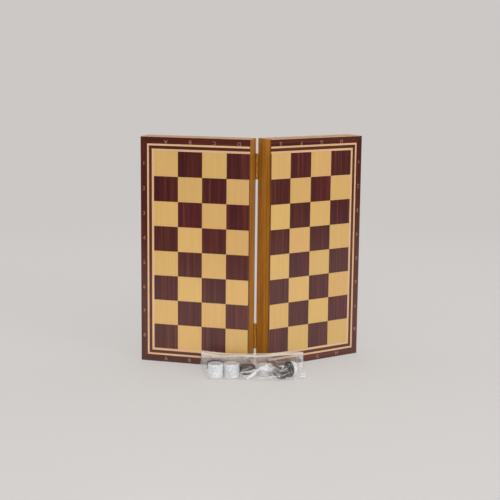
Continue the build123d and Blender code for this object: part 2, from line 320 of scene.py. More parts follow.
# the wood of each part, and what differs there
partWoods = {
    "light_squares": ("lightSquares", {}),
    "dark_squares": ("darkSquares", {}),
    "border_veneer": ("border", {}),
    "light_line": ("paleLine", {}),
    "dark_line": ("darkLine", {}),
    "inner_band": ("paleLine", {}),
    "panel_core": ("core", {}),
    "field_ground": ("fieldGround", {}),
    "light_points": ("lightSquares", {"cell": None, "edge": None}),
    "dark_points": ("darkSquares", {"cell": None, "edge": None}),
    "spine_rail": ("rail", {}),
    "outer_rail": ("rail", {"seed": 13.5}),
    "top_rail": ("rail", {"grain": "x"}),
    "bottom_rail": ("rail", {"grain": "x", "seed": 13.5}),
}


def setMaterial(obj, material):
    obj.data.materials.clear()
    obj.data.materials.append(material)


def dressWood():
    for side in sideSign:
        for part, (wood, change) in partWoods.items():
            look = {**everyWood, **woods[wood], **change}
            look["seed"] += look["sideSeed"][side]
            setMaterial(nodes[f"{side}_{part}"], woodMaterial(f"{wood}_{side}_{part}", side, look))


brass = {
    "patches": (260.0, 4.0, 0.6),
    "specks": (1400.0, 2.0),
    "speckShare": 0.25,
    "stops": tones((0.34, (162, 110, 38)), (0.5, (198, 140, 50)), (0.68, (218, 160, 72))),
    "rough": 0.57,
    "brightRough": -0.3,  # the bright patches are smoother
    "bump": (0.15, 0.0001),
    "metallic": 0.45,
}


def brassMaterial():
    n = newMaterial("antiqueBrass")
    place = n.place()
    patches, specks = n.noise(place, *brass["patches"]), n.noise(place, *brass["specks"])
    blend = n.average(patches, specks, brass["speckShare"])
    return n.done(n.shader("BsdfPrincipled", {
        "Base Color": n.ramp(blend, brass["stops"]), "Metallic": brass["metallic"],
        "Roughness": n.scaled(blend, brass["brightRough"], brass["rough"]),
        "Normal": n.bump(blend, *brass["bump"])}))


dressWood()
antiqueBrass = brassMaterial()
for name in nodes:
    if "hinge" in name or name.startswith("latch"):
        setMaterial(nodes[name], antiqueBrass)
print("wood and brass done")


def mottled(n, place, look):
    # one colour, a little darker in patches
    dark, full = look["stops"]
    stops = [(dark, dimmed(look["colour"], look["dim"])), (full, look["colour"])]
    return n.ramp(n.noise(place, *look["patches"]), stops)


def mottledMaterial(name, look):
    n = newMaterial(name)
    return n.done(n.shader("BsdfPrincipled", {"Base Color": mottled(n, n.place(), look), **look["finish"]}))


def meshObject(name, vertices, faces, material, body, crease=None):
    # crease is the angle in degrees past which an edge stays sharp, and without one the faces are flat
    mesh = bpy.data.meshes.new(name)
    mesh.from_pydata([tuple(v) for v in vertices], [], faces)
    mesh.update()
    obj = bpy.data.objects.new(name, mesh)
    bpy.context.scene.collection.objects.link(obj)
    mesh.materials.append(material)
    if crease is not None:
        mesh.polygons.foreach_set("use_smooth", [True] * len(mesh.polygons))
        if crease < 180:
            mesh.set_sharp_from_angle(angle=math.radians(crease))
    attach(obj, body)
    return obj


coordinates = {
    "height": 0.0048,
    "lift": 0.00003,
    "fromEdge": 0.0045,
    "fromTop": 0.0062,
    "thick": 0.00003,
    "curveSteps": 2,
    "weld": 1e-7,
    "letters": "ABCDEFGH",
    "digits": "12345678",
    "ink": {"colour": linear(176, 124, 98), "dim": (0.75, 0.7, 0.7), "patches": (2600.0, 2.0),
            "stops": (0.3, 0.6), "finish": {"Roughness": 0.45, "Coat Weight": 0.25, "Coat Roughness": 0.18}},
}


def glyphMesh(text):
    # a letter's flat mesh, one unit high, round its middle
    curve = bpy.data.curves.new("glyph", "FONT")
    curve.body = text
    curve.size = 1.0
    curve.resolution_u = coordinates["curveSteps"]
    holder = bpy.data.objects.new("glyph", curve)
    bpy.context.scene.collection.objects.link(holder)
    bpy.context.view_layer.update()
    mesh = bpy.data.meshes.new_from_object(holder.evaluated_get(bpy.context.evaluated_depsgraph_get()))
    bpy.data.objects.remove(holder)
    points = np.array([v.co[:2] for v in mesh.vertices])
    faces = [tuple(p.vertices) for p in mesh.polygons]
    low, high = points.min(0), points.max(0)
    return (points - (low + high) / 2) / (high[1] - low[1]), faces


def coordinateMesh(side, material):
    # letters from left to right, turned round along the top, and digits from the top down
    vertices, faces = [], []
    glyphs = {c: glyphMesh(c) for c in coordinates["letters"] + coordinates["digits"]}
    square, files, height = board["square"], board["files"], coordinates["height"]

    def put(text, a, z, flip):
        points, polygons = glyphs[text]
        start = len(vertices)
        for px, pz in (-points if flip else points) * height:
            vertices.append(spot(side, a + sideSign[side] * px, -coordinates["lift"], z + pz))
        faces.extend(tuple(start + i for i in polygon) for polygon in polygons)

    for k in range(files):
        a = (k + 0.5) * square - board["hingeTrim"]
        letter = coordinates["letters"][files - 1 - k if side == "left" else files + k]
        put(letter, a, boardLength - coordinates["fromTop"], True)
        put(letter, a, coordinates["fromEdge"], False)
    for row, digit in enumerate(coordinates["digits"]):
        z = boardLength - board["margin"] - (row + 0.5) * square
        put(digit, boardWidth - coordinates["fromEdge"], z, side == "right")
    obj = meshObject(f"{side}Coordinates", vertices, faces, material, f"{side}_tray")
    sheet = bmesh.new()
    sheet.from_mesh(obj.data)
    bmesh.ops.remove_doubles(sheet, verts=sheet.verts, dist=coordinates["weld"])
    for face in sheet.faces:
        if face.normal.dot(inwardOf(side)) > 0:
            face.normal_flip()
    sheet.to_mesh(obj.data)
    sheet.free()
    thick = obj.modifiers.new("thick", "SOLIDIFY")
    thick.thickness = coordinates["thick"]
    thick.offset = 0


ink = mottledMaterial("coordinateInk", coordinates["ink"])
for side in sideSign:
    coordinateMesh(side, ink)
print("coordinates done")


def circle(middle, one, two, radius, steps):
    # points round a middle, in the plane of two directions
    turns = [2 * math.pi * k / steps for k in range(steps)]
    return [middle + one * (radius * math.cos(t)) + two * (radius * math.sin(t)) for t in turns]


def ringFaces(start, rings, steps):
    # the sides of a turned piece, from each circle of points to the next
    return [(a + k, a + (k + 1) % steps, a + (k + 1) % steps + steps, a + k + steps)
            for a in range(start, start + (rings - 1) * steps, steps) for k in range(steps)]


leafScrews = {
    "head": 0.0018,
    "bevel": 0.00012,
    "proud": 0.00003,
    "sunk": 0.0001,
    "slot": (0.0015, 0.00018, 0.000004),  # half its length and width, and how far it lies over the head
    "line": 0.0042,  # from the hinge edge
    "spread": 0.0098,
    "middles": (0.036, 0.256),
    "seat": 0.02945,
    "steps": 28,
    "crease": 34.4,
    "seeds": {"left": 11, "right": 23},
    "slotShadeLook": {"colour": linear(48, 28, 10), "dim": (0.6, 0.6, 0.6), "patches": (2000.0, 2.0),
                 "stops": (0.35, 0.65), "finish": {"Roughness": 0.7}},
}


def screwHeads(side, slotShade):
    # countersunk heads that lie almost flush with the leaves, so the closed leaves don't meet on them
    vertices, faces, slots = [], [], []
    out, along, up = inwardOf(side), acrossOf(side), Vector((0, 0, 1))
    head, proud, steps = leafScrews["head"], leafScrews["proud"], leafScrews["steps"]
    half, thin, raised = leafScrews["slot"]
    rings = [(head, -leafScrews["sunk"]), (head, 0.0), (head - leafScrews["bevel"], proud)]
    chance = random.Random(leafScrews["seeds"][side])
    for middle in leafScrews["middles"]:
        for step in (-1, 1):
            centre = spot(side, leafScrews["line"], leafScrews["seat"], middle + step * leafScrews["spread"])
            start = len(vertices)
            for radius, rise in rings:
                vertices += circle(centre + out * rise, along, up, radius, steps)
            faces += ringFaces(start, len(rings), steps)
            faces.append(tuple(range(len(vertices) - steps, len(vertices))))
            faces.append(tuple(reversed(range(start, start + steps))))
            # each slot is a flat dark quad just over the head: painted shade that stands for the cut groove
            slotTurn = chance.uniform(0, math.pi)
            lengthwise = along * math.cos(slotTurn) + up * math.sin(slotTurn)
            sideways = along * -math.sin(slotTurn) + up * math.cos(slotTurn)
            corner, top = len(vertices), centre + out * (proud + raised)
            for u, v in ((-1, -1), (1, -1), (1, 1), (-1, 1)):
                vertices.append(top + lengthwise * (u * half) + sideways * (v * thin))
            slots.append(len(faces))
            faces.append(tuple(range(corner, corner + 4)))
    obj = meshObject(f"{side}LeafScrews", vertices, faces, antiqueBrass, f"{side}_tray", leafScrews["crease"])
    obj.data.materials.append(slotShade)
    for k in slots:
        obj.data.polygons[k].material_index = 1


# the slots' dark brown is painted shade for the grooves
screwSlotShade = mottledMaterial("screwSlotShade", leafScrews["slotShadeLook"])
for side in sideSign:
    screwHeads(side, screwSlotShade)
print("screws done")

checkers = {
    "edge": 0.0007,  # radius of the rounded edge
    "edgeSteps": 5,
    "rimWidth": 0.0026,
    "dish": 0.0007,
    "groove": 0.0003,
    "grooveAt": (0.45, 0.52, 0.59),  # shares of the dish's radius
    # from the dish up to the rim: how far out from the dish's edge, and how far under the rim
    "slope": [(-0.0006, 0.0007), (-0.0001, 0.00042), (0.0004, 0.00005), (0.0009, 0.0)],
    "steps": 64,
    "crease": 50.0,
    "weld": 1e-6,
}


def discPlaces(node):
    # the middle, axis, radius and half thickness of each disc in a CAD node
    mesh = bmesh.new()
    mesh.from_mesh(node.data)
    bmesh.ops.remove_doubles(mesh, verts=mesh.verts, dist=checkers["weld"])
    seen, found = set(), []
    for first in mesh.verts:
        if first in seen:
            continue
        seen.add(first)
        stack, points = [first], []
        while stack:
            vert = stack.pop()
            points.append(vert.co.copy())
            for edge in vert.link_edges:
                other = edge.other_vert(vert)
                if other not in seen:
                    seen.add(other)
                    stack.append(other)
        points = np.array(points)
        middle = points.mean(0)
        axis = np.linalg.eigh(np.cov((points - middle).T))[1][:, 0]
        if axis[2] < 0:
            axis = -axis
        depths = (points - middle) @ axis
        radial = np.linalg.norm((points - middle) - np.outer(depths, axis), axis=1)
        half = float(depths.max() - depths.min()) / 2
        found.append((Vector(middle), Vector(axis), float(radial.max()), half))
    mesh.free()
    found.sort(key=lambda f: (round(f[0].x, 4), round(f[0].y, 4), f[0].z))
    return found


def discProfile(radius, half):
    # radius and height from the middle of one face, round the rim, to the middle of the other
    edge, steps = checkers["edge"], checkers["edgeSteps"]
    inner, dish = radius - checkers["rimWidth"], half - checkers["dish"]
    before, bottom, after = checkers["grooveAt"]
    upper = [(0.0, dish), (inner * before, dish), (inner * bottom, dish - checkers["groove"]),
             (inner * after, dish)]
    upper += [(inner + out, half - down) for out, down in checkers["slope"]]
    for k in range(steps + 1):
        t = math.pi / 2 * k / steps
        upper.append((radius - edge + edge * math.sin(t), half - edge + edge * math.cos(t)))
    return [(r, -h) for r, h in upper] + upper[::-1]


def discMesh(name, node, material):
    vertices, faces = [], []
    steps = checkers["steps"]
    for middle, axis, radius, half in discPlaces(nodes[node]):
        profile = discProfile(radius, half)
        one = axis.orthogonal().normalized()
        two = axis.cross(one)
        foot = len(vertices)
        vertices.append(middle + axis * profile[0][1])
        for r, h in profile[1:-1]:
            vertices += circle(middle + axis * h, one, two, r, steps)
        faces += ringFaces(foot + 1, len(profile) - 2, steps)
        head = len(vertices)
        vertices.append(middle + axis * profile[-1][1])
        for k in range(steps):
            after = (k + 1) % steps
            faces.append((foot, foot + 1 + after, foot + 1 + k))
            faces.append((head - steps + k, head - steps + after, head))
    obj = meshObject(name, vertices, faces, material, "left_tray", checkers["crease"])
    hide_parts(node)
    return obj


plastic = {
    "white": {"stops": tones((0.35, (212, 213, 219)), (0.65, (224, 224, 226))), "rough": 0.22, "glow": 0.1},
    "black": {"stops": tones((0.35, (18, 19, 21)), (0.65, (28, 30, 32))), "rough": 0.12, "glow": 0.0},
    "cloud": (90.0, 3.0),
    "fine": (900.0, 2.0),
    "roughSpread": 0.08,
    "bump": (0.04, 0.0001),
    "glowRadius": (0.002, 0.002, 0.002),
}


def plasticMaterial(name, look):
    n = newMaterial(name)
    place = n.place()
    fine = n.noise(place, *plastic["fine"])
    return n.done(n.shader("BsdfPrincipled", {
        "Base Color": n.ramp(n.noise(place, *plastic["cloud"]), look["stops"]),
        "Roughness": n.scaled(fine, plastic["roughSpread"], look["rough"]),
        "Normal": n.bump(fine, *plastic["bump"]), "Subsurface Weight": look["glow"],
        "Subsurface Radius": plastic["glowRadius"], "Subsurface Scale": 1.0}))


whitePlastic = plasticMaterial("whitePlastic", plastic["white"])
blackPlastic = plasticMaterial("blackPlastic", plastic["black"])
whiteDiscs = discMesh("whiteCheckers", "white_checkers", whitePlastic)
blackDiscs = discMesh("blackCheckers", "black_checkers", blackPlastic)
print("checkers done")

mm, inMm = 0.001, 1000

bag = {
    # plan points in millimetres from the hinge axis, with heights for the zip and for the lip over it
    "front": [(-72.0, -73.0), (-55, -73.6), (-40.1, -74.8), (-27, -78.2), (-13.4, -82.0), (0, -85.0),
              (14.0, -87.4), (27.7, -87.4), (39, -84.3), (50.5, -80.9)],
    "zip": [(-72.4, -20.4, 19.1), (-45.1, -29.0, 16.9), (-21.5, -36.4, 18.6), (0.2, -43.2, 19.1),
            (21.8, -50.0, 22.0), (51.2, -59.4, 25.6)],
    "lip": [(-72.4, -20.4, 24.2), (-47.8, -28.1, 22.2), (-17.3, -37.7, 22.8), (13.1, -47.2, 24.8),
            (33.0, -53.5, 27.4), (51.4, -59.5, 28.6)],
    "back": [(-71.6, -3.0), (-40, -15.5), (0, -34.0), (30, -48.0), (51.2, -58.4)],
    # the film's grid, and lengths in metres
    "columns": 230,
    "frontRows": 84,
    "backRows": 26,
    "packing": 1.6,  # over 1 the rows lie closer at the front and back edges
    "probe": 0.0006,  # how far round a point the checkers are felt for
    "probeTop": 0.2,
    "clear": 0.0005,  # over the checkers
    "floor": 0.0005,
    "under": 0.00012,
    "rounds": 700,
    "endFall": 0.995,
    "topSlack": 1e-5,
    "seamLevels": 5,
    "weldLevels": (2, 3),
    "swell": 0.0006,
    "swellHeight": 0.008,
}

# the small wrinkles all over the film, with lengths in metres
wrinkles = {
    "rise": 0.0011,
    "sizes": (0.0125, 0.0058),
    "seeds": (3.1, 8.7),
    "coarseShare": 0.65,
    "smallShare": 0.35,
    "narrow": 5,
    "sharp": 1.5,
    "pressed": 0.18,  # what is left of them where the film lies on a checker
    "freeHeight": 0.0015,
    "heldRows": 6,  # rows over which wrinkles and folds die out towards the zip and the edges
}

# how milky the film looks, from 0 to 1, with extra whiteness where highlights and reflections are painted on
# it, and places and distances in millimetres
milkAndHighlights = {
    "film": 0.045,
    "coarse": 0.10,
    "small": 0.06,
    "underZip": [(-72, 0.5), (-62, 0.68), (-30, 0.6), (-20, 0.3), (-5, 0.22), (10, 0.12), (18, 0.0),
                 (34, 0.0), (51, 0.3)],
    "zipReach": 7.0,
    "seam": 0.22,
    "seamReach": 1.6,
    "end": 0.16,
    "endFrom": 41,
    "endWidth": 8,
    "endEven": 0.5,
    "side": 0.16,
    "weld": 0.2,
    # patches of painted reflection on the film over the black checkers, across from the hinge axis and up
    "paintedReflections": [
        {"at": (19.0, 10.0), "reach": 8.0, "hazeAndHighlight": 0.12},
        {"at": (46.0, 9.0), "reach": 8.0, "hazeAndHighlight": 0.10},
        {"at": (-20.0, 10.0), "reach": 6.0, "hazeAndHighlight": 0.08},
    ],
    "spotEven": 0.6,
    "spotSmall": 0.8,
    "most": 0.9,
}

# the folds, drawn in millimetres on the bag's front, across from the hinge axis and up: their line, how far
# they stand out, their width, and the haze along them, a painted highlight where they would catch the light
folds = [
    {"line": [(-22.3, 1.7), (-14.5, 7.0), (-7.4, 11.0), (-0.8, 13.4), (8.0, 14.6)],
     "rise": 1.3, "width": 2.2, "hazeAndHighlight": 0.85},
    {"line": [(-15.0, 1.4), (-6.0, 2.2), (5.0, 4.2), (16.0, 5.0)], "rise": 0.9, "width": 0.7, "hazeAndHighlight": 0.7},
    {"line": [(9.4, 11.1), (13.2, 7.7), (18.3, 6.0), (23.3, 6.4), (28.3, 9.1)],
     "rise": 0.5, "width": 0.7, "hazeAndHighlight": 0.35},
    {"line": [(11.0, 13.5), (16.0, 12.0), (19.0, 10.0), (24.0, 11.5), (27.0, 14.0)],
     "rise": 0.7, "width": 0.9, "hazeAndHighlight": 0.4},
    # no fold stands out here: a band of painted light over the white checkers behind
    {"line": [(-1.0, 12.0), (7.5, 12.0)], "rise": 0.0, "width": 4.2, "hazeAndHighlight": 0.80},
    {"line": [(-29.8, 8.4), (-23.5, 9.8), (-18.5, 9.6), (-13.5, 11.7)],
     "rise": 0.8, "width": 1.2, "hazeAndHighlight": 0.65},
    {"line": [(-29.0, 11.0), (-22.0, 12.5), (-16.0, 13.5)], "rise": 0.5, "width": 0.8, "hazeAndHighlight": 0.35},
    {"line": [(-65.6, 8.0), (-61.9, 13.4), (-57.0, 17.0)], "rise": 0.4, "width": 0.9, "hazeAndHighlight": 0.25},
    {"line": [(-44.7, 4.5), (-41.0, 10.8), (-37.3, 17.0)], "rise": 0.4, "width": 0.9, "hazeAndHighlight": 0.25},
    {"line": [(42.1, 17.0), (43.8, 12.0), (44.1, 7.3), (46.2, 3.5)], "rise": 0.7, "width": 1.3, "hazeAndHighlight": 0.25},
    {"line": [(36.0, 1.5), (43.0, 2.4), (49.0, 2.0)], "rise": 0.6, "width": 1.0, "hazeAndHighlight": 0.6},
]


def through(points, count):
    # evenly spaced by x, on a smooth line through the given points
    points = np.array(points, float)
    known = points[:, 0]
    xs = np.linspace(known[0], known[-1], count)
    j = np.clip(np.searchsorted(known, xs) - 1, 0, len(known) - 2)
    width = known[j + 1] - known[j]
    t = (xs - known[j]) / width
    out = [xs]
    for values in points[:, 1:].T:
        slopes = np.gradient(values, known)
        out.append((2 * t**3 - 3 * t**2 + 1) * values[j] + (t**3 - 2 * t**2 + t) * slopes[j] * width
                   + (-2 * t**3 + 3 * t**2) * values[j + 1] + (t**3 - t**2) * slopes[j + 1] * width)
    return np.stack(out, 1)


def filmPlan():
    # columns run along the bag, rows from its front edge over the zip to its back edge
    rowsFront, rowsBack, packing = bag["frontRows"], bag["backRows"], bag["packing"]
    drawn = ([point[:2] for point in bag[name]] for name in ("front", "zip", "back"))
    front, zipLine, back = (through(points, bag["columns"]) for points in drawn)
    rows = [front + (zipLine - front) * (j / rowsFront) ** packing for j in range(rowsFront)]
    rows += [zipLine + (back - zipLine) * (1 - (1 - j / rowsBack) ** packing) for j in range(rowsBack + 1)]
    return np.stack(rows, 1) * mm + np.array([hingeAt.x, hingeAt.y])


def restingHeights(plan):
    # how high the checkers reach under each plan point
    verts, polys = [], []
    for obj in (whiteDiscs, blackDiscs):
        base = len(verts)
        verts += [v.co.copy() for v in obj.data.vertices]
        polys += [[base + i for i in p.vertices] for p in obj.data.polygons]
    tree = BVHTree.FromPolygons(verts, polys)
    probe, down = bag["probe"], Vector((0, 0, -1))
    high = np.zeros(plan.shape[:2])
    for place in np.ndindex(high.shape):
        x, y = plan[place]
        for dx, dy in ((0, 0), (probe, 0), (-probe, 0), (0, probe), (0, -probe)):
            hit = tree.ray_cast(Vector((x + dx, y + dy, bag["probeTop"])), down)[0]
            if hit is not None:
                high[place] = max(high[place], hit.z)
    return high


def drape(plan):
    # the film sinks between the checkers, held up by them and by the zip
    zipHeight = through(bag["zip"], bag["columns"])[:, 2] * mm
    rest = np.maximum(restingHeights(plan) + bag["clear"], bag["floor"])
    z = rest.copy()
    for _ in range(bag["rounds"]):
        smooth = z.copy()
        smooth[1:-1, 1:-1] = 0.25 * (z[:-2, 1:-1] + z[2:, 1:-1] + z[1:-1, :-2] + z[1:-1, 2:])
        smooth[0] = smooth[1] * bag["endFall"]
        smooth[-1] = smooth[-2] * bag["endFall"]
        z = np.maximum(smooth, rest)
        z[:, 0] = bag["floor"]
        z[:, -1] = bag["floor"]
        z[:, bag["frontRows"]] = zipHeight
    return z, rest


def onFront(where, across, up):
    # the film's own point behind a place that is drawn on the bag's front
    i = int(np.argmin(np.abs(where[:, 0, 0] - hingeAt.x - across * mm)))
    heights = where[i, :bag["frontRows"], 2]
    j = int(np.argmax(heights >= min(up * mm, heights.max() - bag["topSlack"])))
    return where[i, j] * inMm


def lineDistance(points, line):
    nearest = np.full(len(points), np.inf)
    for a, b in zip(line[:-1], line[1:]):
        t = np.clip(((points - a) @ (b - a)) / ((b - a) @ (b - a)), 0, 1)
        nearest = np.minimum(nearest, np.linalg.norm(points - a - t[:, None] * (b - a), axis=1))
    return nearest


def ridges(points, size, seed):
    # thin winding crests, 0 to 1
    values = np.array([noise.noise(Vector((p[0] / size + seed, p[1] / size, p[2] / size))) for p in points])
    return np.clip(1 - np.abs(values) * wrinkles["narrow"], 0, 1) ** wrinkles["sharp"]


def crinkle(plan, z, rest):
    # wrinkles and folds that stand out from the draped film, and how milky the film looks at each point, with
    # painted highlights along the crests and folds and painted reflections in patches
    zipRow, count = bag["frontRows"], z.shape[1]
    where = np.dstack([plan, z])
    normal = np.cross(np.gradient(where, axis=0), np.gradient(where, axis=1))
    normal /= np.linalg.norm(normal, axis=2, keepdims=True)
    flat = where.reshape(-1, 3)
    kinds = zip(wrinkles["sizes"], wrinkles["seeds"])
    coarse, small = (ridges(flat, size, seed).reshape(z.shape) for size, seed in kinds)
    lifted = np.clip((z - rest) / wrinkles["freeHeight"], 0, 1)
    free = wrinkles["pressed"] + (1 - wrinkles["pressed"]) * lifted
    out = wrinkles["rise"] * free * (wrinkles["coarseShare"] * coarse + wrinkles["smallShare"] * small)
    # the wrinkle crests are painted whiter: a painted highlight on top of the film's own milkiness
    hazeAndHighlight = milkAndHighlights["film"] + milkAndHighlights["coarse"] * coarse * free + milkAndHighlights["small"] * small
    fromZip = np.linalg.norm(where - where[:, zipRow, None], axis=2) * inMm
    atZip = np.interp(plan[:, zipRow, 0] * inMm, *zip(*milkAndHighlights["underZip"]))
    hazeAndHighlight = hazeAndHighlight + atZip[:, None] * np.exp(-(fromZip / milkAndHighlights["zipReach"]) ** 2)
    fromSeam = np.minimum(plan[:, :, 0] - plan[0, :, 0], plan[-1, :, 0] - plan[:, :, 0]) * inMm
    hazeAndHighlight = hazeAndHighlight + milkAndHighlights["seam"] * np.exp(-fromSeam / milkAndHighlights["seamReach"])
    rightEnd = np.clip((plan[:, :, 0] * inMm - milkAndHighlights["endFrom"]) / milkAndHighlights["endWidth"], 0, 1)
    hazeAndHighlight = hazeAndHighlight + milkAndHighlights["end"] * rightEnd * (milkAndHighlights["endEven"] + coarse)
    # each patch adds whiteness to the film: a painted reflection, not milkiness
    for paintedReflection in milkAndHighlights["paintedReflections"]:
        far = np.linalg.norm(flat * inMm - onFront(where, *paintedReflection["at"]), axis=1) / paintedReflection["reach"]
        broken = milkAndHighlights["spotEven"] + milkAndHighlights["spotSmall"] * small
        hazeAndHighlight = hazeAndHighlight + paintedReflection["hazeAndHighlight"] * np.exp(-far**2).reshape(z.shape) * broken
    for fold in folds:
        line = [onFront(where, *point) for point in fold["line"]]
        near = np.exp(-(lineDistance(flat * inMm, line) / fold["width"]) ** 2).reshape(z.shape)
        out = out + fold["rise"] * mm * near
        # along each fold the film is painted whiter: a painted highlight
        hazeAndHighlight = hazeAndHighlight + fold["hazeAndHighlight"] * near
    row = np.arange(count)
    fromHeld = np.minimum(np.minimum(row, count - 1 - row), np.abs(row - zipRow))
    out = out * np.clip(fromHeld / wrinkles["heldRows"], 0, 1)[None, :]
    where = where + normal * out[:, :, None]
    where[:, :, 2] = np.maximum(where[:, :, 2], bag["floor"])
    return where, np.clip(hazeAndHighlight, 0, milkAndHighlights["most"])


films = {
    "clear": {"tint": linear(240, 239, 237), "rough": 0.14, "crumple": (260.0, 4.0, 0.6, 0.8),
              "bump": (0.6, 0.0008), "shine": 0.5, "streaks": [(0.45, grey(0.7)), (0.62, grey(1.3))]},
    "zip": {"tint": linear(248, 238, 222), "rough": 0.3, "crumple": (120.0, 4.0, 0.6, 0.8),
            "bump": (0.2, 0.0008), "shine": 0.3, "streaks": [(0.45, grey(0.92)), (0.62, grey(1.03))]},
    "specular": 0.6,
    "glow": 0.22,  # the share of the milky film that light shines through
    "bare": (0.99, 0.99, 0.985, 1),
    "bareRough": 0.6,  # how rough the shine is against the milky film
    "index": 1.45,
    "bareFrom": 0.01,  # film with less haze than this has no shine
}


def filmMaterial(name, look):
    # milky, and white with painted highlights, where the haze is high, and elsewhere clear with a thin shine
    n = newMaterial(name)
    crumple = n.noise(n.place(), *look["crumple"])
    bump = n.bump(crumple, *look["bump"])
    hazeAndHighlight = n.add("Attribute", attribute_name="hazeAndHighlight").outputs["Fac"]
    body = n.shader("BsdfPrincipled", {"Base Color": look["tint"], "Roughness": look["rough"],
                                       "Specular IOR Level": films["specular"], "Normal": bump})
    glow = n.shader("BsdfTranslucent", {"Color": look["tint"], "Normal": bump})
    milky = n.over(films["glow"], body, glow)
    bare = n.shader("BsdfTransparent", {"Color": films["bare"]})
    shine = n.shader("BsdfAnisotropic", {"Color": grey(1), "Roughness": look["rough"] * films["bareRough"],
                                         "Normal": bump})
    mirror = n.add("Fresnel", {"IOR": films["index"], "Normal": bump}).outputs[0]
    amount = n.math("MULTIPLY", n.math("MULTIPLY", mirror, look["shine"]),
                    n.math("GREATER_THAN", hazeAndHighlight, films["bareFrom"]))
    # the crumple noise breaks the painted whiteness into streaks
    streaked = n.math("MULTIPLY", hazeAndHighlight, n.ramp(crumple, look["streaks"]))
    return n.done(n.over(streaked, n.over(amount, bare, shine), milky))


def giveHazeAndHighlight(obj, values):
    attribute = obj.data.attributes.new("hazeAndHighlight", "FLOAT", "POINT")
    attribute.data.foreach_set("value", np.asarray(values, np.float32))


def bagFilm(material):
    plan = filmPlan()
    z, rest = drape(plan)
    where, hazeAndHighlight = crinkle(plan, z, rest)
    columns, count = z.shape
    under, low = columns * count, bag["under"]
    vertices = [tuple(p) for p in where.reshape(-1, 3)] + [(x, y, low) for x, y in plan.reshape(-1, 2)]
    hazesAndHighlights = list(hazeAndHighlight.reshape(-1)) + [0.0] * under
    faces = []
    for i in range(columns - 1):
        a, b = i * count, i * count + count - 1
        faces.append((under + a, under + a + count, a + count, a))
        faces.append((b, b + count, under + b + count, under + b))
        for a in range(a, b):
            faces.append((a, a + count, a + count + 1, a + 1))
            faces.append((under + a, under + a + 1, under + a + count + 1, under + a + count))
    levels = bag["seamLevels"]
    for column, outward in ((0, -1), (columns - 1, 1)):
        # the side seams bulge a little, with the weld standing out halfway up
        grid = [range(under + column * count, under + (column + 1) * count)]
        for k in range(1, levels):
            t = k / levels
            grid.append(range(len(vertices), len(vertices) + count))
            for x, y, top in where[column]:
                swell = bag["swell"] * math.sin(math.pi * t) * min(1, top / bag["swellHeight"])
                vertices.append((x + outward * swell, y, low + (top - low) * t))
                hazesAndHighlights.append(milkAndHighlights["side"] + milkAndHighlights["weld"] * (k in bag["weldLevels"]))
        grid.append(range(column * count, (column + 1) * count))
        for lower, upper in zip(grid[:-1], grid[1:]):
            for j in range(count - 1):
                quad = (lower[j], upper[j], upper[j + 1], lower[j + 1])
                faces.append(quad if outward > 0 else quad[::-1])
    obj = meshObject("bagFilm", vertices, faces, material, "left_tray", 180)
    giveHazeAndHighlight(obj, hazesAndHighlights)
    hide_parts("bag_film")


zipper = {
    # height over the zip's foot and half thickness, in millimetres, with the haze there
    "ribs": [(0.0, 0.25, 0.35), (0.3, 0.7, 0.97), (1.1, 0.7, 0.97), (1.4, 0.35, 0.45), (1.7, 0.55, 0.65),
             (2.1, 0.55, 0.65), (2.4, 0.2, 0.3)],
    "ribShare": 0.8,  # the most of the strip's height that the ribs take
    "lipSteps": 4,
    "lipHalf": 0.15,
    "lipHaze": 0.30,
    "edgeHaze": 0.25,
    "thickWay": (0.36, 0.9),  # across the strip, in plan
    "wave": 0.35,
    "waveTurn": 0.16,
    "waveDrift": 1.3,
    "driftTurn": 0.053,
}


def bagLip(material):
    # the zip's two ribs and the double film above them, as one closed strip
    columns, ribs, more = bag["columns"], zipper["ribs"], zipper["lipSteps"]
    low, high = through(bag["zip"], columns), through(bag["lip"], columns)
    thickX, thickY = zipper["thickWay"]
    vertices, faces, hazesAndHighlights = [], [], []
    for sign in (-1, 1):
        for i in range(columns):
            rise = np.linalg.norm(high[i] - low[i])
            squeeze = min(1, rise * zipper["ribShare"] / ribs[-1][0])
            levels = [(h * squeeze, half, hazeAndHighlight) for h, half, hazeAndHighlight in ribs]
            start = levels[-1][0]
            for k in range(1, more + 1):
                hazeAndHighlight = zipper["lipHaze"] + zipper["edgeHaze"] * (k == more)
                levels.append((start + (rise - start) * k / more, zipper["lipHalf"], hazeAndHighlight))
            drift = zipper["waveDrift"] * math.sin(i * zipper["driftTurn"])
            for h, half, hazeAndHighlight in levels:
                x, y, z = low[i] + (high[i] - low[i]) * (h / rise)
                wave = zipper["wave"] * math.sin(i * zipper["waveTurn"] + drift) * h / rise
                vertices.append(((x + sign * half * thickX) * mm + hingeAt.x,
                                 (y + wave + sign * half * thickY) * mm + hingeAt.y, z * mm))
                hazesAndHighlights.append(hazeAndHighlight)
    per = len(ribs) + more
    back = columns * per
    for i in range(columns - 1):
        a, b = i * per, i * per + per - 1
        faces.append((a, back + a, back + a + per, a + per))
        faces.append((b + per, back + b + per, back + b, b))
        for a in range(a, b):
            faces.append((a, a + per, a + per + 1, a + 1))
            faces.append((back + a, back + a + 1, back + a + per + 1, back + a + per))
    for j in range(per - 1):
        a, b = j, back - per + j
        faces.append((a, a + 1, back + a + 1, back + a))
        faces.append((back + b, back + b + 1, b + 1, b))
    obj = meshObject("bagLip", vertices, faces, material, "left_tray", 180)
    giveHazeAndHighlight(obj, hazesAndHighlights)
    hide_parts("bag_zip")


bagFilm(filmMaterial("clearFilm", films["clear"]))
bagLip(filmMaterial("zipFilm", films["zip"]))
print("bag done")

